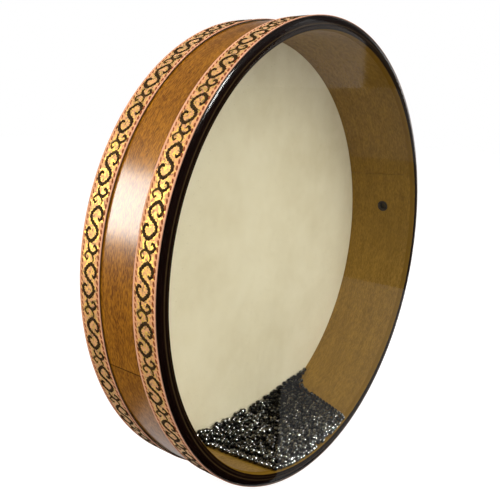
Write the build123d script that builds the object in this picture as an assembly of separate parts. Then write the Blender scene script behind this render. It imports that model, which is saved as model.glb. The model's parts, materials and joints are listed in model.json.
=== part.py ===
from build123d import *
import os
from math import sqrt

import numpy as np
from scipy.spatial import cKDTree

# An ocean drum standing on its rim. The drum's axis lies along Y, the clear head faces -Y and the
# skin head +Y. The origin is on the floor, below the middle of the drum. Sizes are in millimetres,
# and places round the rim are in degrees from +X towards +Z, as seen from the clear head.

# Shell
SHELL_R_OUT = 198.2
INNER_PLY_T = 4.8
OUTER_PLY_T = 4.85
DRUM_DEPTH = 78.0
BACK_EDGE_ROUND = 2.0
PLY_SEAM_GAP = 0.4
INNER_SEAM_AT = 18.0
INNER_SEAM_SKEW = -2.9
OUTER_SEAM_AT = -165.0
GLUE_LINE = 0.05

# Front rim hoop
HOOP_DEPTH = 5.6
HOOP_INNER_ROUND = 2.0
CROWN_DROP = 2.2

# Heads
FILM_T = 0.4
SKIN_T = 0.6
COLLAR_TUCK = 3.0

# Braids
BRAID_W = 20.8
BRAID_T = 1.1
BRAID_EDGE_ROUND = 0.4
FRONT_BRAID_SETBACK = 2.4
BACK_BRAID_SETBACK = 0.6
BRAID_SEAM_GAP = 0.3
FRONT_BRAID_SEAM_AT = -48.0
BACK_BRAID_SEAM_AT = -40.0
FLAT_DEPTH = 0.3

# Fill plug
PLUG_D = 12.0
PLUG_FIT = 0.05
PLUG_AT = 6.5
PLUG_INSET = 0.4
PLUG_HEAD_D = 17.0
PLUG_HEAD_T = 1.2
PLUG_HEAD_LIFT = 0.3
PLUG_BORE_D = 7.0
PLUG_BORE_DEPTH = 4.5

# Steel shot, and how deep it lies under the middle of the heap
BALL_D = 4.5
BALL_WALL_GAP = 0.3
BALL_GAP = 0.04
HEAP_FRONT_DEPTH = 13.0
HEAP_FOOT_DEPTH = 18.5
HEAP_BACK_DEPTH = 32.0
HEAP_BANK = 16.0
HEAP_BANK_CURVE = 2.0
HEAP_DISH_R = 1250.0
HEAP_FILL = 0.46
HEAP_SPLIT = 6.5
SINK_STEPS = 900
SPREAD_STEPS = 600
SINK_PULL = 0.004
SHOT_SEED = 7

# Radii, counted outwards
PLY_JOINT_R = SHELL_R_OUT - OUTER_PLY_T
SHELL_R_IN = PLY_JOINT_R - GLUE_LINE - INNER_PLY_T
CREST_R = SHELL_R_IN + HOOP_INNER_ROUND
COLLAR_R = SHELL_R_OUT + GLUE_LINE
BRAID_R_IN = COLLAR_R + SKIN_T + GLUE_LINE
BRAID_R_OUT = BRAID_R_IN + BRAID_T
AXIS_Z = BRAID_R_OUT - FLAT_DEPTH

# Depths along Y, counted from the clear head to the skin head
FRONT_Y = -DRUM_DEPTH / 2
BACK_Y = DRUM_DEPTH / 2
FILM_Y = FRONT_Y + FILM_T
CREST_Y = FILM_Y + GLUE_LINE
HOOP_BACK_Y = CREST_Y + HOOP_DEPTH
SKIN_Y = BACK_Y - SKIN_T
SHELL_BACK_Y = SKIN_Y - GLUE_LINE
FRONT_BRAID_Y = FRONT_Y + FRONT_BRAID_SETBACK
BACK_BRAID_Y = BACK_Y - BACK_BRAID_SETBACK - BRAID_W
FILM_COLLAR_Y = FRONT_BRAID_Y + BRAID_W - COLLAR_TUCK
SKIN_COLLAR_Y = BACK_BRAID_Y + COLLAR_TUCK
MID_Y = (FRONT_Y + BACK_Y) / 2

# The crown of the rim is an arc that leaves the crest square to the axis
CROWN_RUN = SHELL_R_OUT - CREST_R
CROWN_R = (CROWN_RUN**2 + CROWN_DROP**2) / (2 * CROWN_DROP)
CROWN_CENTRE_Y = CREST_Y + CROWN_R


def upright(solid):
    """Lift a shape made about the Y axis to the height of the drum's axis."""
    return Pos(0, 0, AXIS_Z) * solid


def turned(outline):
    """Spin a closed outline of radius and depth about the drum's axis."""
    return revolve(make_face(outline), Axis.Y)


def path(*points):
    """Straight edges from point to point."""
    return Polyline(*points)


def slit(at, width, skew=0.0):
    """A thin radial cutter across the whole rim at one place round it."""
    blade = Box(3 * BRAID_T + SHELL_R_OUT, 2 * DRUM_DEPTH, width)
    return Rot(0, -at, 0) * Pos(SHELL_R_OUT, 0, 0) * Rot(skew, 0, 0) * blade


def fill_hole():
    """The round hole through both plies that the plug closes."""
    hole = Cylinder(PLUG_D / 2 + PLUG_FIT, SHELL_R_OUT, rotation=(0, 90, 0))
    return Rot(0, -PLUG_AT, 0) * Pos(SHELL_R_OUT, MID_Y, 0) * hole


def inner_ply():
    strip = turned(
        path(
            (SHELL_R_IN, HOOP_BACK_Y),
            (SHELL_R_IN + INNER_PLY_T, HOOP_BACK_Y),
            (SHELL_R_IN + INNER_PLY_T, SHELL_BACK_Y),
            (SHELL_R_IN, SHELL_BACK_Y),
            (SHELL_R_IN, HOOP_BACK_Y),
        )
    )
    seam = slit(INNER_SEAM_AT, PLY_SEAM_GAP, INNER_SEAM_SKEW)
    return upright(strip - seam - fill_hole())


def outer_ply():
    edge = SHELL_R_OUT - BACK_EDGE_ROUND
    strip = turned(
        path(
            (edge, SHELL_BACK_Y),
            (PLY_JOINT_R, SHELL_BACK_Y),
            (PLY_JOINT_R, HOOP_BACK_Y),
            (SHELL_R_OUT, HOOP_BACK_Y),
            (SHELL_R_OUT, SHELL_BACK_Y - BACK_EDGE_ROUND),
        )
        + CenterArc((edge, SHELL_BACK_Y - BACK_EDGE_ROUND), BACK_EDGE_ROUND, 0, 90)
    )
    return upright(strip - slit(OUTER_SEAM_AT, PLY_SEAM_GAP) - fill_hole())


def rim_hoop():
    inner_turn_y = CREST_Y + HOOP_INNER_ROUND
    return upright(
        turned(
            CenterArc((CREST_R, inner_turn_y), HOOP_INNER_ROUND, 180, 90)
            + TangentArc((CREST_R, CREST_Y), (SHELL_R_OUT, CREST_Y + CROWN_DROP), tangent=(1, 0))
            + path(
                (SHELL_R_OUT, CREST_Y + CROWN_DROP),
                (SHELL_R_OUT, HOOP_BACK_Y),
                (SHELL_R_IN, HOOP_BACK_Y),
                (SHELL_R_IN, inner_turn_y),
            )
        )
    )


def crown_edge_y(stand_off):
    """Depth at which a layer this far outside the crown meets the collar outside the shell."""
    run = CROWN_RUN + stand_off
    return CROWN_CENTRE_Y - sqrt((CROWN_R + stand_off) ** 2 - run**2)


def clear_head():
    """A flat film that follows the rim's crown and turns down into a collar."""
    over, under = GLUE_LINE + FILM_T, GLUE_LINE
    outside = (SHELL_R_OUT + over, crown_edge_y(over))
    inside = (SHELL_R_OUT + under, crown_edge_y(under))
    return upright(
        turned(
            path((0, FILM_Y), (0, FRONT_Y), (CREST_R, FRONT_Y))
            + TangentArc((CREST_R, FRONT_Y), outside, tangent=(1, 0))
            + path(outside, (outside[0], FILM_COLLAR_Y), (inside[0], FILM_COLLAR_Y), inside)
            + TangentArc((CREST_R, FILM_Y), inside, tangent=(1, 0))
            + path((CREST_R, FILM_Y), (0, FILM_Y))
        )
    )


def skin_head():
    """A flat skin that rounds the shell's back edge and turns down into a collar."""
    edge = SHELL_R_OUT - BACK_EDGE_ROUND
    turn_y = SHELL_BACK_Y - BACK_EDGE_ROUND
    under = BACK_EDGE_ROUND + GLUE_LINE
    over = under + SKIN_T
    return upright(
        turned(
            path((edge, SKIN_Y), (0, SKIN_Y), (0, BACK_Y), (edge, BACK_Y))
            + CenterArc((edge, turn_y), over, 0, 90)
            + path(
                (edge + over, turn_y),
                (edge + over, SKIN_COLLAR_Y),
                (edge + under, SKIN_COLLAR_Y),
                (edge + under, turn_y),
            )
            + CenterArc((edge, turn_y), under, 0, 90)
        )
    )


def braid(start_y, seam_at):
    """A ribbon round the rim with its ends butted, pressed flat where the drum stands on it."""
    section = Pos((BRAID_R_IN + BRAID_R_OUT) / 2, start_y + BRAID_W / 2) * RectangleRounded(
        BRAID_T, BRAID_W, BRAID_EDGE_ROUND
    )
    floor = Pos(0, 0, -AXIS_Z - BRAID_R_OUT) * Box(
        2 * BRAID_R_OUT, 2 * DRUM_DEPTH, 2 * BRAID_R_OUT
    )
    ribbon = revolve(section, Axis.Y)
    return upright(ribbon - slit(seam_at, BRAID_SEAM_GAP) - floor)


def fill_plug():
    """A stopper with a flat head outside and a hollow end that shows inside the drum."""
    inner_r = SHELL_R_IN + PLUG_INSET
    head_r = SHELL_R_OUT + PLUG_HEAD_LIFT
    along = Align.CENTER, Align.CENTER, Align.MIN
    shank = Cylinder(PLUG_D / 2, head_r - inner_r, align=along)
    head = Pos(0, 0, head_r - inner_r) * Cylinder(PLUG_HEAD_D / 2, PLUG_HEAD_T, align=along)
    stopper = shank + head - Cylinder(PLUG_BORE_D / 2, PLUG_BORE_DEPTH, align=along)
    rim = stopper.edges().filter_by(GeomType.CIRCLE).sort_by(Axis.Z)[-1]
    stopper = fillet(rim, PLUG_HEAD_T / 2)
    return upright(Rot(0, -PLUG_AT, 0) * Pos(inner_r, MID_Y, 0) * Rot(0, 90, 0) * stopper)


def heap_top(x, y):
    """Height of the heap above the drum's axis: it rises gently from the clear head, banks up
    against the skin and is dished, a little higher at its ends."""
    foot_y = SKIN_Y - HEAP_BANK
    rise = (HEAP_FOOT_DEPTH - HEAP_FRONT_DEPTH) / (foot_y - FILM_Y)
    gentle = HEAP_FRONT_DEPTH + rise * (y - FILM_Y)
    bank = HEAP_BACK_DEPTH - HEAP_FRONT_DEPTH - rise * (SKIN_Y - FILM_Y)
    along = np.clip((y - foot_y) / HEAP_BANK, 0, 1)
    dish = x**2 / (2 * HEAP_DISH_R)
    return gentle + bank * along**HEAP_BANK_CURVE + dish - SHELL_R_IN


def held_in(balls):
    """Push ball centres back inside the shell, between the heads and under the heap's top."""
    margin = BALL_D / 2 + BALL_WALL_GAP
    balls[:, 1] = np.clip(balls[:, 1], FILM_Y + margin, SKIN_Y - margin)
    balls[:, 2] = np.minimum(balls[:, 2], heap_top(balls[:, 0], balls[:, 1]) - BALL_D / 2)
    reach = np.hypot(balls[:, 0], balls[:, 2])
    balls[:, ::2] *= np.minimum(1, (SHELL_R_IN - margin) / reach)[:, None]
    return balls


def settled_balls():
    """Scatter balls through the heap, let them sink and push each other apart, and take out the
    few that are still too close."""
    draw = np.random.default_rng(SHOT_SEED)
    deepest = HEAP_BACK_DEPTH * (1 + SHELL_R_IN / HEAP_DISH_R)
    half_chord = sqrt(SHELL_R_IN**2 - (SHELL_R_IN - deepest) ** 2)
    low = np.array([-half_chord, FILM_Y, -SHELL_R_IN])
    span = np.array([2 * half_chord, SKIN_Y - FILM_Y, deepest])
    ball_volume = np.pi / 6 * BALL_D**3
    tries = int(3 * span.prod() / ball_volume)
    cloud = low + span * draw.random((tries, 3))
    in_shell = np.hypot(cloud[:, 0], cloud[:, 2]) < SHELL_R_IN
    in_heap = in_shell & (cloud[:, 2] < heap_top(cloud[:, 0], cloud[:, 1]))
    heap_volume = span.prod() * in_heap.mean()
    balls = cloud[in_heap][: int(HEAP_FILL * heap_volume / ball_volume)]
    touch = BALL_D + 2 * BALL_GAP
    for step in range(SINK_STEPS + SPREAD_STEPS):
        one, other = cKDTree(balls).query_pairs(touch, output_type="ndarray").T
        between = balls[one] - balls[other]
        apart = np.linalg.norm(between, axis=1)
        push = (0.25 * (touch - apart) / apart)[:, None] * between
        shift = np.zeros_like(balls)
        np.add.at(shift, one, push)
        np.add.at(shift, other, -push)
        shift[:, 2] -= SINK_PULL * (step < SINK_STEPS)
        balls = held_in(balls + shift)
    keep = np.ones(len(balls), bool)
    for one, other in sorted(cKDTree(balls).query_pairs(BALL_D + BALL_GAP)):
        if keep[one]:
            keep[other] = False
    return balls[keep]


def shot_groups():
    """The heap in three parts, by each ball's place round the axis: left, middle and right."""
    balls = settled_balls()
    least = cKDTree(balls).query(balls, k=2)[0][:, 1].min() - BALL_D
    print(f"{len(balls)} balls, least gap {least:.3f} mm")
    swing = np.degrees(np.arctan2(balls[:, 0], -balls[:, 2]))
    parts = {
        "shot_left": balls[swing < -HEAP_SPLIT],
        "shot_mid": balls[abs(swing) <= HEAP_SPLIT],
        "shot_right": balls[swing > HEAP_SPLIT],
    }
    return {
        name: upright(Compound([Pos(*map(float, place)) * Sphere(BALL_D / 2) for place in group]))
        for name, group in parts.items()
    }


nodes = {
    "shell_inner_ply": inner_ply(),
    "shell_outer_ply": outer_ply(),
    "front_rim_hoop": rim_hoop(),
    "clear_head": clear_head(),
    "skin_head": skin_head(),
    "front_braid": braid(FRONT_BRAID_Y, FRONT_BRAID_SEAM_AT),
    "back_braid": braid(BACK_BRAID_Y, BACK_BRAID_SEAM_AT),
    "fill_plug": fill_plug(),
    **shot_groups(),
}

os.makedirs("parts", exist_ok=True)
for name, solid in nodes.items():
    solid.label = name
    export_step(solid, f"parts/{name}.step")
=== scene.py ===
"""Dresses an ocean drum: a lacquered two-ply shell, a dark rim hoop, a clear head and a skin head, two
woven braids with scrolls, a rubber fill plug and loose steel shot. Lengths are in metres."""

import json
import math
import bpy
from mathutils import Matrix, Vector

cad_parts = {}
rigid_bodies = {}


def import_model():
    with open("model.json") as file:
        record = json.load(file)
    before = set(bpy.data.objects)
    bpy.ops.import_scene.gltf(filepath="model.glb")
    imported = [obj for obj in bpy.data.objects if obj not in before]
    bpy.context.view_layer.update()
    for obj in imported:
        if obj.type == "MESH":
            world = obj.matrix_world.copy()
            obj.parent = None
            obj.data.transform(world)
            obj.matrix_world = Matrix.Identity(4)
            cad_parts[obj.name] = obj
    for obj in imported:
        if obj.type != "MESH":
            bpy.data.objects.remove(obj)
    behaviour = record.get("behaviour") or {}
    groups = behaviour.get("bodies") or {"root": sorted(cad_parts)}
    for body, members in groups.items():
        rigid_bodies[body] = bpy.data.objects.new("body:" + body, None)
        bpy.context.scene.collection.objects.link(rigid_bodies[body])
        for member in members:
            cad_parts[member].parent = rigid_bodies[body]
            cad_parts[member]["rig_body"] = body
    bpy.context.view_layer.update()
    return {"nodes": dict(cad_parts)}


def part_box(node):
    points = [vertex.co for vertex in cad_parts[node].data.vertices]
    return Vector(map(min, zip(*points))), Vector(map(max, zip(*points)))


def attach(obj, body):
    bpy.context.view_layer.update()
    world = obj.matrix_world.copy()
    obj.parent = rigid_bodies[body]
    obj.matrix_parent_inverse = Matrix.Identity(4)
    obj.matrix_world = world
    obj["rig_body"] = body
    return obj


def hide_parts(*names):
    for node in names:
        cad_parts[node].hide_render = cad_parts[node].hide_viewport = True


bl_info = {
    "name": "Ocean drum",
    "version": (1, 0, 0),
    "blender": (4, 5, 0),
    "location": "3D View > Sidebar > Ocean drum",
    "description": "Builds the pieces and finishes of an ocean drum around its frame",
    "category": "Object",
}

from functools import cache, partialmethod
from types import SimpleNamespace

import bmesh
import bpy
import numpy as np
from bpy.props import FloatProperty, FloatVectorProperty, IntProperty, PointerProperty
from mathutils import Matrix, Vector

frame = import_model()

MM = 0.001


# Places read from the frame

def node_points(node):
    """Vertex places of a CAD node as an array of rows."""
    mesh = frame["nodes"][node].data
    flat = np.empty(3 * len(mesh.vertices), np.float32)
    mesh.vertices.foreach_get("co", flat)
    return flat.reshape(-1, 3).astype(float)


# Height of the drum's axis: the middle of the outer ply.
AXIS_Z = sum(corner.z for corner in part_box("shell_outer_ply")) / 2


def ring_of(node):
    """Inner and outer radius of a turned CAD node about the drum's axis, with its front and back depth."""
    places = node_points(node)
    reach = np.hypot(places[:, 0], places[:, 2] - AXIS_Z)
    depth = places[:, 1]
    return SimpleNamespace(inner=reach.min(), outer=reach.max(), front=depth.min(), back=depth.max())


SHELL = ring_of("shell_outer_ply")
HOOP = ring_of("front_rim_hoop")
FILM = ring_of("clear_head")
SKIN = ring_of("skin_head")
BRAIDS = {name: ring_of(name) for name in ("front_braid", "back_braid")}


# Sizes and colours

def length(label, about, metres):
    return FloatProperty(name=label, description=about, default=metres, min=0, unit="LENGTH", precision=5)


def angle(label, about, degrees):
    return FloatProperty(name=label, description=about, default=math.radians(degrees), unit="ROTATION")


def whole(label, about, number, least):
    return IntProperty(name=label, description=about, default=number, min=least)


def point(label, about, x, y, z):
    return FloatVectorProperty(name=label, description=about, default=(x, y, z), subtype="XYZ")


def colour(label, about, red, green, blue):
    return FloatVectorProperty(
        name=label, description=about, default=(red, green, blue), min=0, max=1, size=3, subtype="COLOR"
    )


class ShellLook(bpy.types.PropertyGroup):
    """Wood of the two plies."""

    outer_seam: angle("Outer seam", "Place of the outer ply's seam round the rim", -165)
    inner_seam: angle("Inner seam", "Place of the inner ply's seam round the rim", 18)
    seam_stain: length("Seam stain", "Reach of the dark stain on each side of the outer seam", 0.3 * MM)
    fleck_length: length("Fleck length", "Length of the wood's flecks along the rim", 3.6 * MM)
    fleck_width: length("Fleck width", "Width of the wood's flecks", 0.8 * MM)
    outer_dark: colour("Outer dark", "Dark tone of the outer ply", 0.095, 0.027, 0.0008)
    outer_light: colour("Outer light", "Light tone of the outer ply", 0.34, 0.135, 0.008)
    inner_dark: colour("Inner dark", "Dark tone of the inner ply", 0.185, 0.1, 0.013)
    inner_light: colour("Inner light", "Light tone of the inner ply", 0.335, 0.19, 0.029)


class HoopLook(bpy.types.PropertyGroup):
    """Dark rim hoop."""

    inner_round: length("Inner round", "Radius of the hoop's inner edge", 2 * MM)
    crown_drop: length("Crown drop", "Fall of the crown from its crest to its outer edge", 2.2 * MM)
    groove_depth: length("Groove depth", "Depth of the glue lines in the crown", 0.12 * MM)
    groove_width: length("Groove width", "Width of the glue lines in the crown", 0.22 * MM)
    glue_core: length("Glue core", "Half width of a glue line's full colour", 0.2 * MM)
    glue_edge: length("Glue edge", "Half width at which a glue line's colour ends", 0.75 * MM)
    bare_edge: length("Bare edge", "Depth of the bare wood on the hoop's inner face", 0.3 * MM)
    polish: length("Polish", "Width of the polished band at the hoop's outer edge", 1.6 * MM)
    stain: colour("Stain", "Colour of the dark stain", 0.0035, 0.0013, 0.0009)
    bare_wood: colour("Bare wood", "Unstained inner face of the hoop", 0.2, 0.11, 0.014)
    glue_line: colour("Glue line", "Colour of the fine lines in the crown", 0.045, 0.028, 0.012)


class HeadLook(bpy.types.PropertyGroup):
    """Clear film and skin."""

    film: length("Film thickness", "Thickness of the clear film", 0.4 * MM)
    film_ior: FloatProperty(name="Film IOR", description="Refraction of the film", default=1.36, min=1)
    skin: length("Skin thickness", "Thickness of the skin", 0.6 * MM)
    skin_bend: length("Skin bend", "Inside radius of the skin's bend over the shell's edge", 2.05 * MM)
    skin_pale: colour("Pale skin", "Light tone of the skin", 0.71, 0.645, 0.455)
    skin_deep: colour("Deep skin", "Deep tone of the skin", 0.61, 0.54, 0.355)
    skin_fleck: colour("Skin flecks", "Palest flecks of the skin", 0.78, 0.73, 0.56)
    skin_vein: colour("Skin veins", "Veins of the skin", 0.44, 0.33, 0.17)
    follicle: colour("Follicles", "Dark follicles of the skin", 0.3, 0.22, 0.11)


class BraidLook(bpy.types.PropertyGroup):
    """Woven ribbon with scrolls."""

    repeats: whole("Repeats", "Scroll repeats round the rim", 32, 1)
    front_start: angle("Front start", "Place of one scroll's middle on the front braid", 174.4)
    back_start: angle("Back start", "Place of one scroll's middle on the back braid", 143.5)
    front_seam: angle("Front seam", "Place where the front braid's ends meet", -48)
    back_seam: angle("Back seam", "Place where the back braid's ends meet", -40)
    seam_gap: length("Seam gap", "Gap between the ends of a braid", 0.3 * MM)
    relief: length("Relief", "Depth of the ribbon's ground under the braid's outer radius", 0.4 * MM)
    scroll_width: length("Scroll width", "Thickness of the scroll lines", 2.8 * MM)
    scroll_rise: length("Scroll rise", "Height of the scroll lines over the ground", 0.45 * MM)
    gold_reach: length("Gold reach", "How far the gold thread runs from the scrolls", 4 * MM)
    gold_fade: length("Gold fade", "Width over which the gold thread runs out", 2.2 * MM)
    selvedge: length("Selvedge", "Width of the pale cord at each edge", 1.1 * MM)
    ground_thread: length("Ground thread", "Width of two threads of the ground's weave", 0.55 * MM)
    scroll_thread: length("Scroll thread", "Width of two threads in the scrolls and stitches", 0.45 * MM)
    stitch_pitch: length("Stitch pitch", "Distance from stitch to stitch along the edges", 4.36 * MM)
    stitch_rise: length("Stitch rise", "Height of the stitches over the ground", 0.3 * MM)
    stitch_inset: length("Stitch inset", "Distance of the stitches' middles from the selvedge", 1.2 * MM)
    front_stitch: length("Front stitch", "Half width of the stitches at a braid's front edge", 0.85 * MM)
    back_stitch: length("Back stitch", "Half width of the stitches at a braid's back edge", 0.5 * MM)
    peach: colour("Peach", "Ground of the ribbon", 0.56, 0.235, 0.085)
    gold: colour("Gold", "Metal thread round the scrolls", 0.82, 0.52, 0.075)
    pink: colour("Pink", "Selvedge cord", 0.56, 0.27, 0.155)
    # Painted shade: the dark colour of the gaps between the ground's threads, the dark side of the gold
    # thread's glitter.
    thread_gap_shade: colour("Thread gap", "Gaps between the ground's threads", 0.15, 0.075, 0.016)
    thread_shade: colour("Thread shade", "Darker threads of the ground", 0.36, 0.17, 0.07)
    # Painted shade: the ribbon's sides and underside are painted dark to make the shadow gap where the
    # braid meets the shell.
    painted_shade_underside: colour("Underside", "Underside of the ribbon", 0.05, 0.022, 0.01)
    scroll: colour("Scroll", "Scroll thread", 0.009, 0.0035, 0.0012)
    scroll_worn: colour("Worn scroll", "Worn scroll thread", 0.11, 0.06, 0.01)
    stitch: colour("Stitch", "Edge stitches", 0.16, 0.043, 0.009)
    stitch_worn: colour("Worn stitch", "Worn edge stitches", 0.2, 0.05, 0.02)


class PlugLook(bpy.types.PropertyGroup):
    """Rubber fill plug."""

    place: angle("Place", "Place of the plug round the rim", 6.5)
    bore: length("Bore", "Diameter of the plug's hollow end", 7 * MM)
    rubber: colour("Rubber", "Colour of the plug", 0.018, 0.013, 0.009)
    dust: colour("Dust", "Colour of the bottom of the plug's hollow", 0.11, 0.082, 0.03)
    grit: colour("Grit", "Fine grit on the rubber", 0.06, 0.05, 0.04)


class ShotLook(bpy.types.PropertyGroup):
    """Loose steel balls."""

    diameter: length("Ball diameter", "Diameter of one ball", 4.5 * MM)
    columns: whole("Columns", "Faces round one ball", 10, 4)
    rows: whole("Rows", "Faces from pole to pole of one ball", 6, 3)
    steel: colour("Steel", "Burnished steel", 0.24, 0.235, 0.215)


class StageLook(bpy.types.PropertyGroup):
    """Floor, light and camera."""

    floor_side: length("Floor side", "Side of the floor", 9.0)
    floor_tone: colour("Floor", "Tone of the floor", 0.28, 0.28, 0.275)
    ambient: FloatProperty(name="Ambient", description="Light from all round", default=0.5, min=0, max=1)
    camera_at: point("Camera", "Place of the camera", -0.4536, -0.3050, 0.3298)
    camera_aim: point("Aim", "Point that the camera looks at", 0.0092, 0.0508, 0.1915)
    camera_roll: angle("Roll", "Turn of the camera about its line of sight", 1.61)
    lens: FloatProperty(name="Lens", description="Focal length in millimetres", default=44.44, min=1)


# Meshes

# Steps round a turned piece, distance at which points are merged, and angle from which an edge is sharp.
SEGMENTS = 288
SAME_POINT = 1e-7
CREASE = math.radians(40)


def points_of(*parts):
    """Points from arrays of their parts, each spread to the shape of all."""
    return np.stack(np.broadcast_arrays(*parts), axis=-1)


def grid_faces(rows, columns, close_rows=False, close_columns=False):
    """Four corners of each cell of a grid of points, row by row, with the ends joined where asked."""
    row = np.arange(rows if close_rows else rows - 1)[:, None]
    column = np.arange(columns if close_columns else columns - 1)
    next_row = (row + 1) % rows
    next_column = (column + 1) % columns
    corners = ((row, column), (next_row, column), (next_row, next_column), (row, next_column))
    return np.stack([down * columns + along for down, along in corners], axis=-1).reshape(-1, 4)


def many_faces(faces, points_each, copies):
    """The same faces for each of several copies of a shape that follow each other in the point list."""
    shift = np.arange(copies)[:, None, None] * points_each
    return (faces[None] + shift).reshape(-1, faces.shape[1])


def add_piece(name, points, faces, marks=None, tidy=True):
    """Put points, faces and named point attributes into a new object at the origin. Tidying merges double
    points and turns the faces outwards."""
    mesh = bpy.data.meshes.new(name)
    mesh.from_pydata(points.reshape(-1, 3).tolist(), [], faces)
    for mark_name, values in (marks or {}).items():
        kind, part = ("FLOAT", "value") if values.ndim == 1 else ("FLOAT_VECTOR", "vector")
        layer = mesh.attributes.new(mark_name, kind, "POINT")
        layer.data.foreach_set(part, values.astype(np.float32).ravel())
    if tidy:
        work = bmesh.new()
        work.from_mesh(mesh)
        bmesh.ops.remove_doubles(work, verts=work.verts, dist=SAME_POINT)
        bmesh.ops.recalc_face_normals(work, faces=work.faces)
        work.to_mesh(mesh)
        work.free()
    mesh.shade_smooth()
    mesh.set_sharp_from_angle(angle=CREASE)
    piece = bpy.data.objects.new(name, mesh)
    bpy.context.scene.collection.objects.link(piece)
    return piece


def dress(piece, material, body=None, replaced=()):
    """Give a piece its material and its body, and hide the CAD nodes that it stands for."""
    piece.data.materials.append(material)
    if body:
        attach(piece, body)
    if replaced:
        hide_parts(*replaced)


def around(radius, turn, depth):
    """Points at a radius from the drum's axis, an angle from +X towards +Z, and a depth along Y."""
    return points_of(radius * np.cos(turn), depth, AXIS_Z + radius * np.sin(turn))


def outline_of(*runs):
    """One outline of (radius, depth) rows from runs of radii with their depths."""
    return np.vstack([points_of(radius, depth) for radius, depth in runs])


def turned_piece(name, outline):
    """A closed outline of (radius, depth) rows, spun once about the drum's axis."""
    turn = np.linspace(0, 2 * np.pi, SEGMENTS, endpoint=False)[:, None]
    points = around(outline[:, 0], turn, outline[:, 1])
    faces = grid_faces(SEGMENTS, len(outline), close_rows=True, close_columns=True)
    return add_piece(name, points, faces.tolist())


# Shader nodes

# The two ends of a node group, the rim's lowest place, and the width over which finishes run together.
GROUP_ENDS = ("NodeGroupInput", "NodeGroupOutput")
LOWEST = math.radians(-90)
SOFT_EDGE = 0.5 * MM


def new_node(tree, kind, inputs=None, **options):
    """A new shader node with its options set and its inputs, by name or number, linked or set. Gives its
    outputs by name and number."""
    made = tree.nodes.new(kind if kind in GROUP_ENDS else "ShaderNode" + kind)
    for option, choice in options.items():
        setattr(made, option, choice)
    for key, value in (inputs or {}).items():
        socket = made.inputs[key]
        if isinstance(value, Field):
            tree.links.new(value.socket, socket)
        elif socket.type == "RGBA":
            socket.default_value = (*value, 1.0)
        else:
            socket.default_value = value
    outputs = {}
    for number, socket in enumerate(made.outputs):
        outputs[number] = outputs[socket.name] = Field(tree, socket)
    return outputs


class Field:
    """A value, colour or vector over a surface: an output of a shader node. Sums and products of fields
    and numbers make Math nodes."""

    def __init__(self, tree, socket):
        self.tree = tree
        self.socket = socket

    def calc(self, operation, other=0.0, clamp=False):
        """A Math node on the value."""
        inputs = {0: self, 1: other}
        return new_node(self.tree, "Math", inputs, operation=operation, use_clamp=clamp)[0]

    __add__ = partialmethod(calc, "ADD")
    __sub__ = partialmethod(calc, "SUBTRACT")
    __mul__ = partialmethod(calc, "MULTIPLY")
    __truediv__ = partialmethod(calc, "DIVIDE")
    __abs__ = partialmethod(calc, "ABSOLUTE")

    def __rsub__(self, other):
        return new_node(self.tree, "Math", {0: other, 1: self}, operation="SUBTRACT")[0]

    def mapped(self, low, high, to_low=0.0, to_high=1.0):
        """The value moved from one range to another with a smooth ease at both ends."""
        inputs = {0: self, 1: low, 2: high, 3: to_low, 4: to_high}
        return new_node(self.tree, "MapRange", inputs, interpolation_type="SMOOTHSTEP")[0]

    def mixed(self, first, second):
        """The first colour where the value is nothing, the second where it is one."""
        return new_node(self.tree, "Mix", {0: self, 6: first, 7: second}, data_type="RGBA")[2]

    def noise(self, scale=1.0, detail=2.0, roughness=0.5):
        """Soft noise at the place that the vector gives."""
        inputs = {"Vector": self, "Scale": scale, "Detail": detail, "Roughness": roughness}
        return new_node(self.tree, "TexNoise", inputs)[0]

    def bump(self, strength, distance):
        """The surface's normal, tilted by the value as a height."""
        inputs = {"Height": self, "Strength": strength, "Distance": distance}
        return new_node(self.tree, "Bump", inputs)[0]

    def parts(self):
        """The three parts of the vector."""
        made = new_node(self.tree, "SeparateXYZ", {0: self})
        return made[0], made[1], made[2]


def vector_of(x, y, z=0.0):
    return new_node(x.tree, "CombineXYZ", {0: x, 1: y, 2: z})[0]


def length_of(x, y):
    return new_node(x.tree, "VectorMath", {0: vector_of(x, y)}, operation="LENGTH")[1]


def mark(tree, name):
    """A named point attribute of the piece."""
    return new_node(tree, "Attribute", attribute_name=name)


def object_place(tree):
    return new_node(tree, "TexCoord")["Object"]


def turned_place(tree, cosine, sine):
    """The surface's place from an angle round the rim, given by its cosine and sine: the distance out at
    that angle, the distance square to it, and the depth."""
    x, depth, z = object_place(tree).parts()
    height = z - AXIS_Z
    return x * cosine + height * sine, height * cosine - x * sine, depth


def new_material(name):
    """An empty node material, and its tree."""
    material = bpy.data.materials.new(name)
    material.use_nodes = True
    material.node_tree.nodes.clear()
    return material, material.node_tree


def finish_surface(tree, inputs):
    """A Principled shader with the given inputs, joined to the material's output."""
    surface = new_node(tree, "BsdfPrincipled", inputs)[0]
    new_node(tree, "OutputMaterial", {"Surface": surface})


def new_group(name, inputs, outputs):
    """An empty node group with named number sockets: its tree, and its inputs by name."""
    tree = bpy.data.node_groups.new(name, "ShaderNodeTree")
    for way, sockets in (("INPUT", inputs), ("OUTPUT", outputs)):
        for socket in sockets:
            tree.interface.new_socket(socket, in_out=way, socket_type="NodeSocketFloat")
    return tree, new_node(tree, "NodeGroupInput")


@cache
def rim_place_group():
    """Place on the rim: the distance along it from the point opposite a seam, the depth and the reach.
    Along is the reach times the angle, which jumps only at the seam."""
    tree, given = new_group("rim_place", ["Seam"], ["Along", "Depth", "Reach"])
    seam = given["Seam"]
    ahead, aside, depth = turned_place(tree, seam.calc("COSINE"), seam.calc("SINE"))
    turn = (aside * -1.0).calc("ARCTAN2", ahead * -1.0)
    reach = length_of(ahead, aside)
    new_node(tree, "NodeGroupOutput", {"Along": turn * reach, "Depth": depth, "Reach": reach})
    return tree


def rim_place(tree, seam):
    """Along, Depth and Reach of the surface's place on the rim."""
    return new_node(tree, "Group", {"Seam": seam}, node_tree=rim_place_group())


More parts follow.
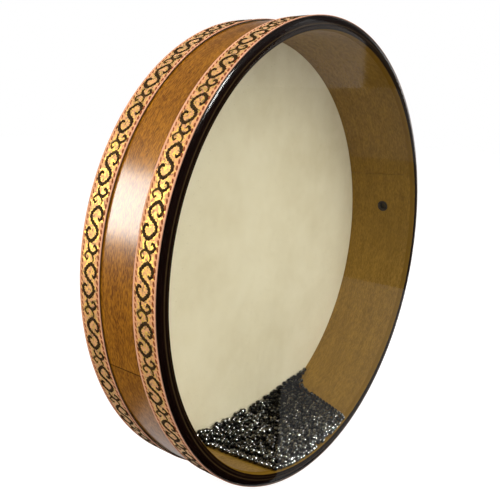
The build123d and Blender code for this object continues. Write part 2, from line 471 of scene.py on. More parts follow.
@cache
def wood_grain_group():
    """Grain that runs along the rim: fine flecks, broad streaks and thin pores, each a noise stretched
    along the rim."""
    inputs = ["Along", "Depth", "Reach", "Fleck Length", "Fleck Width"]
    tree, given = new_group("wood_grain", inputs, ["Fleck", "Streak", "Pore"])

    def stretched(long, wide, detail):
        along = given["Along"] / (given["Fleck Length"] * long)
        width = given["Fleck Width"] * wide
        place = vector_of(along, given["Depth"] / width, given["Reach"] / width)
        return place.noise(detail=detail, roughness=0.6)

    new_node(tree, "NodeGroupOutput", {
        "Fleck": stretched(1.0, 1.0, 3.0).mapped(0.38, 0.62),
        "Streak": stretched(16.0, 9.0, 4.0).mapped(0.3, 0.7),
        "Pore": stretched(2.4, 0.45, 1.0).mapped(0.62, 0.74),
    })
    return tree


@cache
def weave_group():
    """Plain weave: two crossed sine waves, thread by thread, and a thread-to-thread change of shade."""
    tree, given = new_group("weave", ["Along", "Across", "Thread"], ["Height", "Shade"])
    thread = given["Thread"]
    warp, weft = [(given[way] / thread * (2 * math.pi)).calc("SINE") for way in ("Along", "Across")]
    place = vector_of(given["Along"] / (thread * 5.0), given["Across"] / (thread * 2.0))
    new_node(tree, "NodeGroupOutput", {
        "Height": warp * weft * 0.5 + 0.5,
        "Shade": place.noise(detail=3.0, roughness=0.7),
    })
    return tree


# Shell

def wood_material(name, look, seam, dark, light, roughness, lacquer, stain):
    """Flecked wood: the grain's flecks and streaks pick the tone and its pores darken it. Stain in the
    seam's edges makes the seam a dark line."""
    material, tree = new_material(name)
    rim = rim_place(tree, seam)
    laid = {way: rim[way] for way in ("Along", "Depth", "Reach")}
    size = {"Fleck Length": look.fleck_length, "Fleck Width": look.fleck_width}
    grain = new_node(tree, "Group", {**laid, **size}, node_tree=wood_grain_group())
    clouds = object_place(tree).noise(14.0, 3.0).mapped(0.35, 0.7, 0.0, 0.3)
    from_seam = rim["Reach"] * math.pi - abs(rim["Along"])
    stained = from_seam.mapped(look.seam_stain, 2 * look.seam_stain, stain, 0.0)
    tone = (grain["Fleck"] * 0.7 + grain["Streak"] * 0.3).mixed(dark, light)
    tone = (grain["Pore"] * 0.5).mixed(tone, dark * 0.4)
    tone = clouds.mixed(tone, dark)
    tone = stained.mixed(tone, dark * 0.25)
    finish_surface(tree, {
        "Base Color": tone,
        "Roughness": grain["Fleck"].mapped(0.0, 1.0, roughness + 0.05, roughness - 0.03),
        "Normal": (grain["Fleck"] * 0.5 - grain["Pore"]).bump(0.12, 0.1 * MM),
        "Coat Weight": lacquer,
        "Coat Roughness": 0.22,
        "Coat IOR": 1.4,
        "Specular IOR Level": 0.1,
    })
    return material


class DRUM_OT_shell(bpy.types.Operator):
    """Finish the outer and inner ply of the shell"""

    bl_idname = "drum.shell"
    bl_label = "Shell plies"

    def execute(self, context):
        look = context.scene.drum_shell
        outer = (look.outer_seam, look.outer_dark, look.outer_light)
        inner = (look.inner_seam, look.inner_dark, look.inner_light)
        amber = wood_material("amber_lacquered_wood", look, *outer, roughness=0.36, lacquer=0.75, stain=0.8)
        olive = wood_material("olive_inner_wood", look, *inner, roughness=0.6, lacquer=0.0, stain=0.0)
        frame["nodes"]["shell_outer_ply"].material_slots[0].material = amber
        frame["nodes"]["shell_inner_ply"].material_slots[0].material = olive
        return {"FINISHED"}


# Rim hoop

# Places of the glue lines, as shares of the hoop's wall from its inside, and how strong each is.
GROOVES_AT = {0.5: 1.0, 0.24: 0.4}


def crown(look):
    """Radius of the crest, and radius of the crown arc that leaves it square to the axis and falls by the
    drop at the hoop's outer edge."""
    crest = HOOP.inner + look.inner_round
    run = HOOP.outer - crest
    return crest, (run**2 + look.crown_drop**2) / (2 * look.crown_drop)


def groove_radii():
    """Radius and strength of each glue line."""
    return [(HOOP.inner + part * (HOOP.outer - HOOP.inner), force) for part, force in GROOVES_AT.items()]


class DRUM_OT_rim_hoop(bpy.types.Operator):
    """Build the dark crowned hoop under the clear head's edge"""

    bl_idname = "drum.rim_hoop"
    bl_label = "Rim hoop"

    def outline(self, look):
        """Front face as a depth for each radius: a round inside the crest, the crown's arc outside it, less
        a narrow dip at each glue line. The sides and back are straight."""
        crest, bend = crown(look)
        radius = np.linspace(HOOP.inner, HOOP.outer, 90)
        inside = np.clip(crest - radius, 0, look.inner_round)
        outside = np.clip(radius - crest, 0, None)
        depth = HOOP.front + look.inner_round - np.sqrt(look.inner_round**2 - inside**2)
        depth += bend - np.sqrt(bend**2 - outside**2)
        for line, force in groove_radii():
            depth += force * look.groove_depth * np.exp(-(((radius - line) / look.groove_width) ** 2))
        return outline_of((radius, depth), ([HOOP.outer, HOOP.inner], HOOP.back))

    def stain(self, look):
        """Dark stain with fine brown glue lines at fixed radii, polished at the outer edge."""
        material, tree = new_material("dark_stained_wood")
        rim = rim_place(tree, LOWEST)
        reach = rim["Reach"]
        lines = 0.0
        for line, force in groove_radii():
            near = abs(reach - line).mapped(look.glue_core, look.glue_edge, force, 0.0)
            lines = near.calc("MAXIMUM", lines)
        cloud = vector_of(rim["Along"] * 60.0, reach * 900.0).noise(detail=3.0)
        bare_to = HOOP.inner + look.bare_edge
        polish_from = HOOP.outer - look.polish
        tone = cloud.mapped(0.3, 0.75).mixed(look.stain, look.stain * 2)
        tone = (lines * 0.8).mixed(tone, look.glue_line)
        tone = reach.mapped(bare_to, bare_to + SOFT_EDGE, 1.0, 0.0).mixed(tone, look.bare_wood)
        finish_surface(tree, {
            "Base Color": tone,
            "Roughness": cloud.mapped(0.2, 0.8, 0.16, 0.12),
            "Specular IOR Level": 0.0,
            "Coat Weight": reach.mapped(polish_from - 2 * SOFT_EDGE, polish_from),
            "Coat Roughness": 0.14,
        })
        return material

    def execute(self, context):
        look = context.scene.drum_hoop
        hoop = turned_piece("rim_hoop", self.outline(look))
        dress(hoop, self.stain(look), "drum", ["front_rim_hoop"])
        return {"FINISHED"}


# Heads

class DRUM_OT_clear_head(bpy.types.Operator):
    """Build the clear film over the rim hoop"""

    bl_idname = "drum.clear_head"
    bl_label = "Clear head"

    def line(self, look, over):
        """One face of the film at a stand-off over the hoop: flat to the crest, along the crown's arc and
        straight back as a collar."""
        crest, bend = crown(look)
        flat = np.linspace(0, crest, 12, endpoint=False)
        rim = np.linspace(crest, HOOP.outer + over, 40)
        fall = HOOP.front + bend - np.sqrt((bend + over) ** 2 - (rim - crest) ** 2)
        collar = np.linspace(fall[-1], FILM.back, 6)[1:]
        return outline_of((flat, HOOP.front - over), (rim, fall), (HOOP.outer + over, collar))

    def clear_film(self, ior, crest):
        """Clear film: it lets everything through but the share that its face mirrors, by Fresnel. The far
        face, seen from behind, mirrors nothing more. Stretched over the crown, it is a little duller."""
        material, tree = new_material("clear_film")
        mirror = new_node(tree, "Fresnel", {"IOR": ior})[0]
        facing = 1.0 - new_node(tree, "NewGeometry")["Backfacing"]
        shine = new_node(tree, "BsdfPrincipled", {
            "Base Color": (0.95, 0.95, 0.95),
            "Metallic": 1.0,
            "Roughness": rim_place(tree, LOWEST)["Reach"].mapped(crest, crest + 4 * SOFT_EDGE, 0.04, 0.14),
        })[0]
        through = new_node(tree, "BsdfTransparent", {"Color": (0.985, 0.985, 0.975)})[0]
        surface = new_node(tree, "MixShader", {0: mirror * facing, 1: through, 2: shine})[0]
        new_node(tree, "OutputMaterial", {"Surface": surface})
        return material

    def execute(self, context):
        look = context.scene.drum_hoop
        heads = context.scene.drum_heads
        outer = HOOP.front - FILM.front
        outline = np.vstack([self.line(look, outer), self.line(look, outer - heads.film)[::-1]])
        film = turned_piece("clear_head_film", outline)
        material = self.clear_film(heads.film_ior, crown(look)[0])
        dress(film, material, "drum", ["clear_head"])
        return {"FINISHED"}


class DRUM_OT_skin_head(bpy.types.Operator):
    """Build the skin over the back of the shell"""

    bl_idname = "drum.skin_head"
    bl_label = "Skin head"

    def line(self, look, over):
        """One face of the skin: flat to the shell's edge, a quarter turn of the given radius, and straight
        forward as a collar."""
        edge = SKIN.outer - look.skin_bend - look.skin
        turn_at = SKIN.back - look.skin_bend - look.skin
        flat = np.linspace(0, edge, 24, endpoint=False)
        turn = np.linspace(np.pi / 2, 0, 14)
        collar = np.linspace(turn_at, SKIN.front, 6)[1:]
        bend = (edge + over * np.cos(turn), turn_at + over * np.sin(turn))
        return outline_of((flat, turn_at + over), bend, (edge + over, collar))

    def cream_skin(self, look):
        """Cream hide: cloudy tones at two sizes, drawn-out veins, fine pores and a few dark follicles. The
        grain side, outside, has a little shine, and the flesh side has none."""
        material, tree = new_material("cream_skin")
        place = object_place(tree)
        broad = place.noise(9.0, 4.0, 0.55).mapped(0.3, 0.72)
        fine = place.noise(55.0, 4.0, 0.6).mapped(0.3, 0.75)
        drawn_out = new_node(tree, "VectorMath", {0: place, 1: (26.0, 26.0, 7.0)}, operation="MULTIPLY")[0]
        veins = drawn_out.noise(1.0, 5.0, 0.65).mapped(0.6, 0.78, 0.0, 0.3)
        spots = new_node(tree, "TexVoronoi", {"Vector": place, "Scale": 210.0, "Randomness": 1.0})[0]
        pores = place.noise(1300.0)
        depth = place.parts()[1]
        tone = broad.mixed(look.skin_pale, look.skin_deep)
        tone = (fine * 0.25).mixed(tone, look.skin_fleck)
        tone = veins.mixed(tone, look.skin_vein)
        tone = spots.mapped(0.05, 0.14, 0.35, 0.0).mixed(tone, look.follicle)
        finish_surface(tree, {
            "Base Color": tone,
            "Roughness": fine.mapped(0.0, 1.0, 0.62, 0.5),
            "Normal": (pores * 0.4 + fine).bump(0.14, 0.3 * MM),
            "Specular IOR Level": 0.0,
            "Coat Weight": depth.mapped(SKIN.back - 0.9 * look.skin, SKIN.back - 0.2 * look.skin, 0.0, 0.6),
            "Coat Roughness": 0.56,
        })
        return material

    def execute(self, context):
        look = context.scene.drum_heads
        outside = self.line(look, look.skin_bend + look.skin)
        inside = self.line(look, look.skin_bend)
        skin = turned_piece("skin_head_hide", np.vstack([outside, inside[::-1]]))
        dress(skin, self.cream_skin(look), "drum", ["skin_head"])
        return {"FINISHED"}


# Braids

# One repeat of the ornament in millimetres, across the ribbon towards the clear head and along it upwards
# on the left of the drum. The scroll is a half, from its middle to its curled end, turned half round for
# the other half. The curl follows the scroll, and turned half round about the middle between two scrolls
# it makes the second curl.
SCROLL_HALF = (
    (2.8, -2.0), (4.5, -5.3), (3.3, -8.5), (-1.2, -11.9),
    (-5.3, -9.4), (-6.6, -5.7), (-4.6, -3.1), (-2.5, -4.6),
)
CURL = (
    (-2.6, -12.9), (-3.1, -15.8), (-0.8, -19.1), (2.8, -20.0),
    (5.9, -17.3), (3.6, -14.4), (2.2, -16.2),
)
# Width and ink of the scroll, the curl and the second curl.
LINE_WEIGHTS = ((1.0, 1.0), (0.82, 0.9), (0.62, 0.55))
# Ends of a slanted stitch in millimetres, across and along the ribbon.
STITCH_ENDS = ((-0.6, 1.8), (0.6, -1.8))
# Sides of a raised cord, and how much a scroll thins at its ends.
CORD_SIDES = 6
SCROLL_THINNED = 0.42
# Depth of the selvedge cords under the braid's outer radius.
CORD_DEPTH = 0.05 * MM
# Points across the ribbon, rows of points in a repeat, and parts in which distances are worked out.
RIBBON_ACROSS = 34
RIBBON_ROWS = 56
DISTANCE_PARTS = 60


def smooth_path(corners, steps):
    """Catmull-Rom curve: between two corners, the cubic whose slope at each is half the step from the
    corner before it to the corner after it."""
    corners = np.asarray(corners, float)
    line = np.vstack([2 * corners[0] - corners[1], corners, 2 * corners[-1] - corners[-2]])
    before, start, end, after = line[:-3, None], line[1:-2, None], line[2:-1, None], line[3:, None]
    t = np.linspace(0, 1, steps, endpoint=False)[None, :, None]
    cubic = (
        2 * start
        + (end - before) * t
        + (2 * before - 5 * start + 4 * end - after) * t**2
        + (3 * start - before - 3 * end + after) * t**3
    ) / 2
    return np.vstack([cubic.reshape(-1, 2), corners[-1]])


def raised_line(path, half_width, rise, thinned):
    """A low cord along a path of (across, along) rows: an ellipse of the given half width and rise, square
    to the path and beaded along it, that thins towards each end and closes there in a round cap. Rows are
    (across, along, rise)."""
    step = np.hypot(*np.diff(path, axis=0).T)
    run = np.concatenate([[0], np.cumsum(step)])
    to_end = np.minimum(run, run[-1] - run)
    cap = np.sqrt(np.clip(1 - (1 - np.minimum(to_end / half_width, 1)) ** 2, 0, 1))
    taper = 1 - thinned * np.exp(-((to_end / (2.6 * half_width)) ** 2))
    ahead = np.gradient(path, axis=0)
    ahead /= np.hypot(*ahead.T)[:, None]
    aside = np.column_stack([-ahead[:, 1], ahead[:, 0]])
    turn = np.linspace(0, 2 * np.pi, CORD_SIDES, endpoint=False)
    bead_pitch = 0.8 * MM + 1.2 * half_width
    beads = 1 + 0.2 * np.cos(2 * np.pi * run / bead_pitch)
    out = (half_width * cap * taper * beads)[:, None] * np.cos(turn)
    up = (rise * cap)[:, None] * np.sin(turn)
    flat = path[:, None, :] + out[..., None] * aside[:, None, :]
    return np.concatenate([flat, up[..., None]], axis=-1)


class DRUM_OT_braids(bpy.types.Operator):
    """Build both braids: the woven ribbon, its scrolls and its edge stitches"""

    bl_idname = "drum.braids"
    bl_label = "Braids"

    def repeat_length(self, braid):
        return 2 * np.pi * braid.outer / self.look.repeats

    def ornament(self, braid):
        """Centre lines of one repeat, in metres: the scroll, the curl and the turned curl."""
        half = smooth_path(np.vstack([(0, 0), SCROLL_HALF]), 7)
        scroll = np.vstack([-half[:0:-1], half])
        curl = smooth_path(CURL, 6)
        turned = np.array([0, -self.repeat_length(braid) / MM]) - curl
        return scroll * MM, curl * MM, turned * MM

    def laid(self, braid, start, across, along, rise):
        """Ribbon places on the drum: along runs round the rim from a starting angle, across runs towards
        the clear head, and rise counts from the ground. Nothing goes under the floor."""
        ground = braid.outer - self.look.relief
        middle = (braid.front + braid.back) / 2
        points = around(ground + rise, start - along / braid.outer, middle - across)
        points[..., 2] = np.maximum(points[..., 2], 0)
        return points

    def ribbon(self, name, braid, start, seam):
        """Ground of the ribbon: a flat strip whose height swells to a round cord at each edge, with a mark
        of how near each point lies to the scrolls."""
        look = self.look
        half = (braid.back - braid.front) / 2
        across = half * np.sin(np.linspace(-np.pi / 2, np.pi / 2, RIBBON_ACROSS))
        edge = np.clip((np.abs(across) - (half - look.selvedge)) / look.selvedge, 0, 1)
        swell = np.sqrt(np.clip(1 - (2 * edge - 1) ** 2, 0, 1)) * (edge > 0)
        rise = (look.relief - CORD_DEPTH) * swell
        thick = braid.outer - look.relief - braid.inner
        loop_across = np.concatenate([across, [half, -half]])
        loop_rise = np.concatenate([rise, [-thick, -thick]])
        gap = look.seam_gap / braid.outer / 2
        turn = np.linspace(seam + gap, seam + 2 * np.pi - gap, look.repeats * RIBBON_ROWS + 1)
        along = (start - turn)[:, None] * braid.outer
        points = self.laid(braid, start, loop_across, along, loop_rise)
        round_loop = len(loop_across)
        last = len(turn) * round_loop
        faces = grid_faces(len(turn), round_loop, close_columns=True).tolist()
        faces.append(list(range(round_loop)))
        faces.append(list(range(last - round_loop, last)))
        place = points_of(along, loop_across, loop_rise).reshape(-1, 3)
        marks = {"ribbon_place": place, "gold": self.nearness(braid, place)}
        return add_piece(name, points, faces, marks)

    def nearness(self, braid, place):
        """One on the scrolls' lines, falling to nothing a few millimetres away."""
        repeat = self.repeat_length(braid)
        lines = np.vstack(self.ornament(braid))
        lines = np.vstack([lines + [0, shift * repeat] for shift in (-1, 0, 1)])
        along = (place[:, 0] + repeat / 2) % repeat - repeat / 2
        spots = np.array_split(np.column_stack([place[:, 1], along]), DISTANCE_PARTS)
        nearest = [np.sqrt(((part[:, None] - lines) ** 2).sum(-1).min(1)) for part in spots]
        return np.clip((self.look.gold_reach - np.concatenate(nearest)) / self.look.gold_fade, 0, 1)

    def carried_round(self, name, braid, start, copies, cords):
        """Cords carried round the rim, copy by copy, each a grid of (across, along, rise) with its ink."""
        shift = np.arange(copies)[:, None, None] * (2 * np.pi * braid.outer / copies)
        points = []
        places = []
        faces = []
        placed = 0
        for cord, ink in cords:
            along = cord[..., 1] + shift
            points.append(self.laid(braid, start, cord[..., 0], along, cord[..., 2]).reshape(-1, 3))
            places.append(points_of(along, cord[..., 0], ink).reshape(-1, 3))
            each = cord.shape[0] * cord.shape[1]
            cord_faces = grid_faces(*cord.shape[:2], close_columns=True)
            faces.append(placed + many_faces(cord_faces, each, copies))
            placed += each * copies
        marks = {"ribbon_place": np.vstack(places)}
        return add_piece(name, np.vstack(points), np.vstack(faces).tolist(), marks)

    def scrolls(self, name, braid, start):
        """Raised scroll lines: the scroll and the two curls, each with its own width, height and ink."""
        look = self.look
        cords = []
        for line, (width, ink) in zip(self.ornament(braid), LINE_WEIGHTS):
            rise = look.scroll_rise * (0.55 + 0.45 * width)
            cords.append((raised_line(line, width * look.scroll_width / 2, rise, SCROLL_THINNED), ink))
        return self.carried_round(name, braid, start, look.repeats, cords)

    def stitches(self, name, braid, start):
        """Slanted stitches in a row inside each selvedge."""
        look = self.look
        inset = (braid.back - braid.front) / 2 - look.selvedge - look.stitch_inset
        slant = np.linspace(*STITCH_ENDS, 4) * MM
        cords = []
        for side, width in ((1, look.front_stitch), (-1, look.back_stitch)):
            line = smooth_path(slant + [side * inset, 0], 2)
            cords.append((raised_line(line, width, look.stitch_rise, 0.0), 0.0))
        count = round(2 * np.pi * braid.outer / look.stitch_pitch)
        return self.carried_round(name, braid, start, count, cords)

    def weave(self, tree, thread):
        """Weave of the ribbon's threads at a place marked on the piece, with the place's parts."""
        place = mark(tree, "ribbon_place")["Vector"].parts()
        inputs = {"Along": place[0], "Across": place[1], "Thread": thread}
        return place, new_node(tree, "Group", inputs, node_tree=weave_group())

    def ground_material(self, half):
        """Ribbon ground: peach weave, gold metal thread near the scrolls and pink cord at the edges, with
        painted shade in the gaps between threads and on the ribbon's sides.
        """
        look = self.look
        material, tree = new_material("braid_ground")
        (along, across, rise), woven = self.weave(tree, look.ground_thread)
        cord_at = half - look.selvedge
        edge = abs(across).mapped(cord_at - 0.2 * MM, cord_at + 0.1 * MM)
        speck = vector_of(along, across).noise(430.0, 3.0, 0.7)
        fleck = vector_of(across, along).noise(400.0, 1.0)
        near = mark(tree, "gold")["Fac"]
        metal = near.calc("MULTIPLY", speck.mapped(0.45, 0.54), clamp=True)
        # Painted shade: dark specks among the gold thread, most of them near the scrolls, stand in for
        # shade in the gaps between threads.
        shaded_gaps = fleck.mapped(0.36, 0.44, 0.9, 0.0) * near.mapped(0.0, 0.6, 0.2, 1.0)
        sparkle = metal * (1.0 - edge)
        tone = metal.mixed(look.peach, look.gold)
        tone = shaded_gaps.mixed(tone, look.thread_gap_shade)
        tone = edge.mixed(tone, look.pink)
        tone = woven["Shade"].mapped(0.3, 0.7, 0.35, 0.0).mixed(tone, look.thread_shade)
        # Painted shade: faces below the ground, the ribbon's sides, take a dark colour for the shadow gap
        # along its edges.
        tone = rise.mapped(-0.3 * MM, -0.02 * MM, 1.0, 0.0).mixed(tone, look.painted_shade_underside)
        finish_surface(tree, {
            "Base Color": tone,
            "Metallic": sparkle * 0.8,
            "Roughness": sparkle.mapped(0.0, 1.0, 0.75, 0.38),
            "Normal": (woven["Height"] * 0.6 + speck).bump(0.35, 0.25 * MM),
            "Sheen Weight": 0.15,
        })
        return material

    def thread_material(self, name, tone, worn):
        """Embroidery thread of one colour, worn to another here and there and where its ink is low."""
        material, tree = new_material(name)
        (_, _, ink), woven = self.weave(tree, self.look.scroll_thread)
        shade = woven["Shade"].mapped(0.35, 0.75)
        dyed = (shade * 0.5).mixed(tone, worn)
        dyed = ink.mapped(0.5, 0.95, 0.35, 0.0).mixed(dyed, worn)
        finish_surface(tree, {
            "Base Color": dyed,
            "Roughness": shade.mapped(0.0, 1.0, 0.8, 0.6),
            "Normal": (woven["Height"] * 0.5 + woven["Shade"]).bump(0.3, 0.2 * MM),
            "Specular IOR Level": 0.06,
        })
        return material

    def execute(self, context):
        self.look = context.scene.drum_braids
        look = self.look
        scroll_thread = self.thread_material("scroll_thread", look.scroll, look.scroll_worn)
        stitch_thread = self.thread_material("stitch_thread", look.stitch, look.stitch_worn)
        places = {
            "front_braid": (look.front_start, look.front_seam),
            "back_braid": (look.back_start, look.back_seam),
        }
        front = BRAIDS["front_braid"]
        ground = self.ground_material((front.back - front.front) / 2)
        for name, (start, seam) in places.items():
            braid = BRAIDS[name]
            ribbon = self.ribbon(f"{name}_ribbon", braid, start, seam)
            scrolls = self.scrolls(f"{name}_scrolls", braid, start)
            stitches = self.stitches(f"{name}_stitches", braid, start)
            dress(ribbon, ground, "drum", [name])
            dress(scrolls, scroll_thread, "drum")
            dress(stitches, stitch_thread, "drum")
        return {"FINISHED"}


# Fill plug

class DRUM_OT_plug(bpy.types.Operator):
    """Finish the rubber plug in the shell's wall"""

    bl_idname = "drum.plug"
    bl_label = "Fill plug"

    def execute(self, context):
        look = context.scene.drum_plug
        material, tree = new_material("dark_rubber")
        reach, aside, depth = turned_place(tree, math.cos(look.place), math.sin(look.place))
        bore = look.bore / 2
        in_bore = length_of(depth, aside).mapped(0.92 * bore, 1.02 * bore, 1.0, 0.0)
        in_wall = reach.mapped(SHELL.outer - SOFT_EDGE, SHELL.outer, 1.0, 0.0)
        grit = object_place(tree).noise(1400.0, 4.0, 0.7)
        tone = (in_bore * in_wall).mixed(look.rubber, look.dust)
        tone = grit.mapped(0.45, 0.8, 0.0, 0.35).mixed(tone, look.grit)
        finish_surface(tree, {
            "Base Color": tone,
            "Roughness": grit.mapped(0.2, 0.8, 0.5, 0.72),
            "Normal": grit.bump(0.15, 0.1 * MM),
        })
        frame["nodes"]["fill_plug"].material_slots[0].material = material
        return {"FINISHED"}


# Steel shot

class DRUM_OT_shot(bpy.types.Operator):
    """Build the loose steel balls, group by group"""

    bl_idname = "drum.shot"
    bl_label = "Steel shot"

    def ball_places(self, node, radius):
        """Middles of the balls of a CAD node: each point less a radius along its normal, averaged over the
        run of points that share that middle."""
        mesh = frame["nodes"][node].data
        corner = np.empty(len(mesh.loops), np.int32)
        mesh.loops.foreach_get("vertex_index", corner)
        normal = np.empty(3 * len(mesh.loops), np.float32)
        mesh.corner_normals.foreach_get("vector", normal)
        outward = np.zeros((len(mesh.vertices), 3))
        outward[corner] = normal.reshape(-1, 3)
        middles = node_points(node) - radius * outward
        jump = np.linalg.norm(np.diff(middles, axis=0), axis=1) > radius
        starts = np.concatenate([[0], np.flatnonzero(jump) + 1])
        counts = np.diff(np.append(starts, len(middles)))
        return np.add.reduceat(middles, starts) / counts[:, None]

    def ball(self, radius, rows, columns):
        """A ball as rings of latitude between two pole points, with its faces: four-sided ones in the walls
        and three-sided ones at the poles."""
        tilt = np.linspace(-np.pi / 2, np.pi / 2, rows + 1)[1:-1, None]
        turn = np.linspace(0, 2 * np.pi, columns, endpoint=False)
        ring = points_of(np.cos(tilt) * np.cos(turn), np.cos(tilt) * np.sin(turn), np.sin(tilt))
        points = np.vstack([ring.reshape(-1, 3), [0, 0, -1], [0, 0, 1]]) * radius
        walls = grid_faces(rows - 1, columns, close_columns=True)[:, ::-1]
        column = np.arange(columns)
        after = (column + 1) % columns
        top = (rows - 2) * columns
        low_pole = points_of(after, column, len(points) - 2)
        high_pole = points_of(top + column, top + after, len(points) - 1)
        return points, walls, np.vstack([low_pole, high_pole])

    def burnished_steel(self, look):
        """Dark burnished steel, ball by ball a little lighter or darker, with a faint haze. The normal
        points away from the ball's middle, so that the few faces of a ball mirror as a round one."""
        material, tree = new_material("burnished_steel")
        place = object_place(tree)
        middle = mark(tree, "ball_middle")["Vector"]
        outward = new_node(tree, "VectorMath", {0: place, 1: middle}, operation="SUBTRACT")[0]
        to_world = {"vector_type": "NORMAL", "convert_from": "OBJECT", "convert_to": "WORLD"}
        finish_surface(tree, {
            "Base Color": mark(tree, "ball_tone")["Fac"].mixed(look.steel * 0.12, look.steel),
            "Metallic": 1.0,
            "Roughness": place.noise(1500.0).mapped(0.3, 0.8, 0.22, 0.3),
            "Normal": new_node(tree, "VectorTransform", {0: outward}, **to_world)[0],
        })
        return material

    def execute(self, context):
        look = context.scene.drum_shot
        material = self.burnished_steel(look)
        points, walls, caps = self.ball(look.diameter / 2, look.rows, look.columns)
        each = len(points)
        draw = np.random.default_rng(3)
        for node in ("shot_left", "shot_mid", "shot_right"):
            places = self.ball_places(node, look.diameter / 2)
            count = len(places)
            faces = many_faces(walls, each, count).tolist() + many_faces(caps, each, count).tolist()
            marks = {
                "ball_tone": np.repeat(draw.random(count) ** 2, each),
                "ball_middle": np.repeat(places, each, axis=0),
            }
            balls = add_piece(f"{node}_balls", places[:, None] + points, faces, marks, tidy=False)
            dress(balls, material, frame["nodes"][node]["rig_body"], [node])
        return {"FINISHED"}


# Stage

WHITE = (1, 1, 1)
WARM = (1, 0.975, 0.92)


class DRUM_OT_stage(bpy.types.Operator):
    """Set up the floor, the light and the camera"""

    bl_idname = "drum.stage"
    bl_label = "Stage"

    def seen(self, tree):
        """One where the ray comes from the camera or goes through glass, and one where it is mirrored."""
        path = new_node(tree, "LightPath")
        sight = path["Is Camera Ray"].calc("MAXIMUM", path["Is Transmission Ray"])
        return sight, path["Is Glossy Ray"]

    def floor(self, look):
        """A flat square sheet, pale and lit, with a lift towards white for what sees it directly."""
        half = np.linspace(-look.floor_side / 2, look.floor_side / 2, 9)
        points = points_of(half[:, None], half, 0.0)
        floor = add_piece("studio_floor", points, grid_faces(9, 9)[:, ::-1].tolist(), tidy=False)
        material, tree = new_material("pale_floor")
        sight, mirrored = self.seen(tree)
        finish_surface(tree, {
            "Base Color": look.floor_tone,
            "Roughness": 0.9,
            "Specular IOR Level": 0.0,
            "Emission Color": WHITE,
            "Emission Strength": (sight * 0.87).calc("MAXIMUM", mirrored * 0.2),
        })
        dress(floor, material)

    def card(self, name, corners, tone, inside=False):
        """A flat card that only mirrors can see, to keep the dark of the room in them. One for the inside
        is seen only from behind the clear head."""
        card = add_piece(name, np.array(corners, float), [list(range(len(corners)))], tidy=False)
        material, tree = new_material(name)
        shade = new_node(tree, "Emission", {"Color": WHITE, "Strength": tone})[0]
        if inside:
            behind = new_node(tree, "LightPath")["Transparent Depth"].calc("GREATER_THAN", 0.5)
            clear = new_node(tree, "BsdfTransparent")[0]
            shade = new_node(tree, "MixShader", {0: behind, 1: clear, 2: shade})[0]
        new_node(tree, "OutputMaterial", {"Surface": shade})
        dress(card, material)
        for rays in ("camera", "diffuse", "transmission", "shadow"):
            setattr(card, f"visible_{rays}", False)

    def cards(self):
        """Cards in front of the drum: black left of a line that leaves its foot and grey right of it, with
        a light and a dark one above the grey. Others lie under it and behind it for the lower part of the
        shell. A bright one shows in the shot, and a narrow one makes the streak on the rim."""
        near = FILM.front - 1 * MM
        low = 1 * MM
        left, right = -2.5, 3.3
        front, back = -4, 2.5
        foot = (-0.06, near)
        bend = (0.6, -0.48)
        far = (right, -2.28)
        split = -1.75
        upper = right - 0.02
        wall_top = 2.5
        upper_low, upper_high = 0.45, 3
        under_right, under_back, foot_back = 0.4, 0.02, 0.1

        def flat(*corners):
            return [(x, y, low) for x, y in corners]

        def plot(x_from, x_to, y_from, y_to):
            return flat((x_from, y_from), (x_to, y_from), (x_to, y_to), (x_from, y_to))

        def wall(start, end, top, bottom=0):
            return [(*start, bottom), (*end, bottom), (*end, top), (*start, top)]

        black = flat((left, near), foot, bend, far, (right, front), (left, front))
        self.card("black_floor_card", black, 0.0)
        self.card("near_floor_card", flat(foot, bend, (bend[0], near)), 0.24)
        self.card("far_floor_card", flat(bend, far, (right, near), (bend[0], near)), 0.05)
        self.card("black_wall_card", wall((left, front), (right, front), wall_top), 0.0)
        self.card("black_side_card", wall((right, front), far, wall_top), 0.0)
        self.card("grey_side_card", wall(far, (right, near), upper_low), 0.14)
        self.card("upper_side_card", wall((upper, -2.9), (upper, split), upper_high, upper_low), 0.55)
        self.card("upper_dark_card", wall((upper, split), (upper, near), upper_high, upper_low), 0.03)
        self.card("under_card", plot(-0.3, under_right, near, under_back), 0.04)
        self.card("foot_card", plot(-0.5, under_right, under_back, foot_back), 0.55)
        self.card("back_floor_card", plot(left, under_right, foot_back, back), 0.03)
        self.card("bright_card", wall((1.06, -0.92), (1.28, -0.58), 0.2, 0.02), 560.0, inside=True)
        streak = ((0.19, -1.12, 1.38), (0.29, -1.16, 1.3), (0.03, -1.34, 1.08), (-0.07, -1.3, 1.16))
        self.card("streak_card", streak, 30.0, inside=True)

    def world(self, ambient):
        """White for what sees it directly, white to the horizon and dim overhead in mirrors, and an even
        ambient level for the light that it gives."""
        world = bpy.data.worlds.new("studio_world")
        bpy.context.scene.world = world
        world.use_nodes = True
        tree = world.node_tree
        tree.nodes.clear()
        sight, mirrored = self.seen(tree)
        upward = new_node(tree, "TexCoord")["Generated"].parts()[2]
        room = upward.mapped(0.08, 0.4, 1.0, 0.1)
        unseen = mirrored.mixed((ambient, ambient, ambient), room)
        glow = new_node(tree, "Background", {"Color": sight.mixed(unseen, WHITE), "Strength": 1.0})[0]
        new_node(tree, "OutputWorld", {"Surface": glow})

    def turned_to(self, place, aim):
        """Turn that points a lamp or camera at an aim."""
        return (Vector(aim) - Vector(place)).to_track_quat("-Z", "Y")

    def lamp(self, name, place, aim, width, height, watts, tone=WHITE, mirrored=False):
        """A soft area lamp. A mirrored one gives no light of its own and only shows in what shines."""
        data = bpy.data.lights.new(name, "AREA")
        data.shape = "RECTANGLE"
        data.size = width
        data.size_y = height
        data.energy = watts
        data.color = tone
        lamp = bpy.data.objects.new(name, data)
        lamp.location = place
        lamp.rotation_euler = self.turned_to(place, aim).to_euler()
        lamp.visible_camera = False
        lamp.visible_glossy = mirrored
        lamp.visible_diffuse = not mirrored
        bpy.context.scene.collection.objects.link(lamp)

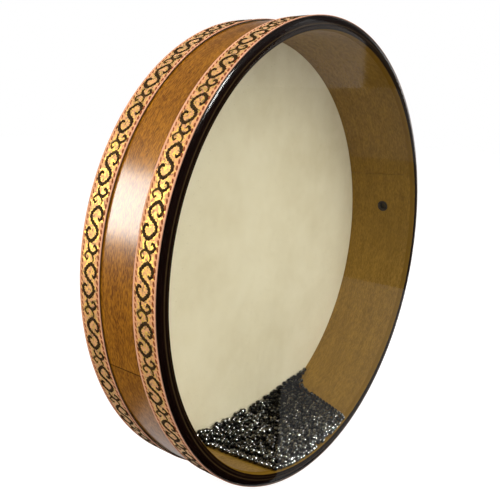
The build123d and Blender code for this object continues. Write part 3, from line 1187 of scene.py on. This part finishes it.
    def lamps(self):
        """A window that shows in the lacquer, a light on the left, and softer ones above and in front."""
        middle = (0, 0, AXIS_Z)
        left_wall = (-0.19, 0, 0.26)
        self.lamp("window", (-1.1, 1.14, 0.66), left_wall, 0.6, 0.62, 28, WARM, mirrored=True)
        self.lamp("side_light", (-1.6, 0.35, 0.87), left_wall, 0.6, 0.62, 20, WARM)
        self.lamp("overhead", (-0.05, -1.42, 1.68), middle, 2.2, 1.6, 33)
        self.lamp("front_fill", (-0.5, -1.5, 0.4), middle, 1.2, 0.8, 8.5)
        self.lamp("skylight", (-0.52, 0.45, 1.52), (-0.1, 0, 0.3), 1.0, 1.0, 8)

    def camera(self, look):
        data = bpy.data.cameras.new("camera")
        data.lens = look.lens
        data.sensor_width = 36
        data.clip_start = 0.01
        camera = bpy.data.objects.new("camera", data)
        sight = self.turned_to(look.camera_at, look.camera_aim).to_matrix()
        turned = sight @ Matrix.Rotation(look.camera_roll, 3, "Z")
        camera.matrix_world = Matrix.Translation(look.camera_at) @ turned.to_4x4()
        bpy.context.scene.collection.objects.link(camera)
        bpy.context.scene.camera = camera

    def execute(self, context):
        look = context.scene.drum_stage
        context.scene.view_settings.view_transform = "Standard"
        self.floor(look)
        self.world(look.ambient)
        self.lamps()
        self.cards()
        self.camera(look)
        return {"FINISHED"}


# Panel and add-on

PIECES = (
    DRUM_OT_shell,
    DRUM_OT_rim_hoop,
    DRUM_OT_clear_head,
    DRUM_OT_skin_head,
    DRUM_OT_braids,
    DRUM_OT_plug,
    DRUM_OT_shot,
    DRUM_OT_stage,
)
LOOKS = {
    "drum_shell": ShellLook,
    "drum_hoop": HoopLook,
    "drum_heads": HeadLook,
    "drum_braids": BraidLook,
    "drum_plug": PlugLook,
    "drum_shot": ShotLook,
    "drum_stage": StageLook,
}


class DRUM_PT_pieces(bpy.types.Panel):
    """Sizes and colours of the drum, with a button for each piece"""

    bl_idname = "DRUM_PT_pieces"
    bl_label = "Ocean drum"
    bl_space_type = "VIEW_3D"
    bl_region_type = "UI"
    bl_category = "Ocean drum"

    def draw(self, context):
        for piece in PIECES:
            self.layout.operator(piece.bl_idname)
        for name, group in LOOKS.items():
            box = self.layout.box()
            box.label(text=group.__doc__)
            for key in group.__annotations__:
                box.prop(getattr(context.scene, name), key)


CLASSES = (*LOOKS.values(), *PIECES, DRUM_PT_pieces)


def register():
    for made in CLASSES:
        bpy.utils.register_class(made)
    for name, group in LOOKS.items():
        setattr(bpy.types.Scene, name, PointerProperty(type=group))


def unregister():
    for name in LOOKS:
        delattr(bpy.types.Scene, name)
    for made in reversed(CLASSES):
        bpy.utils.unregister_class(made)


def main():
    register()
    for piece in PIECES:
        group, name = piece.bl_idname.split(".")
        getattr(getattr(bpy.ops, group), name)()


if __name__ == "__main__":
    main()
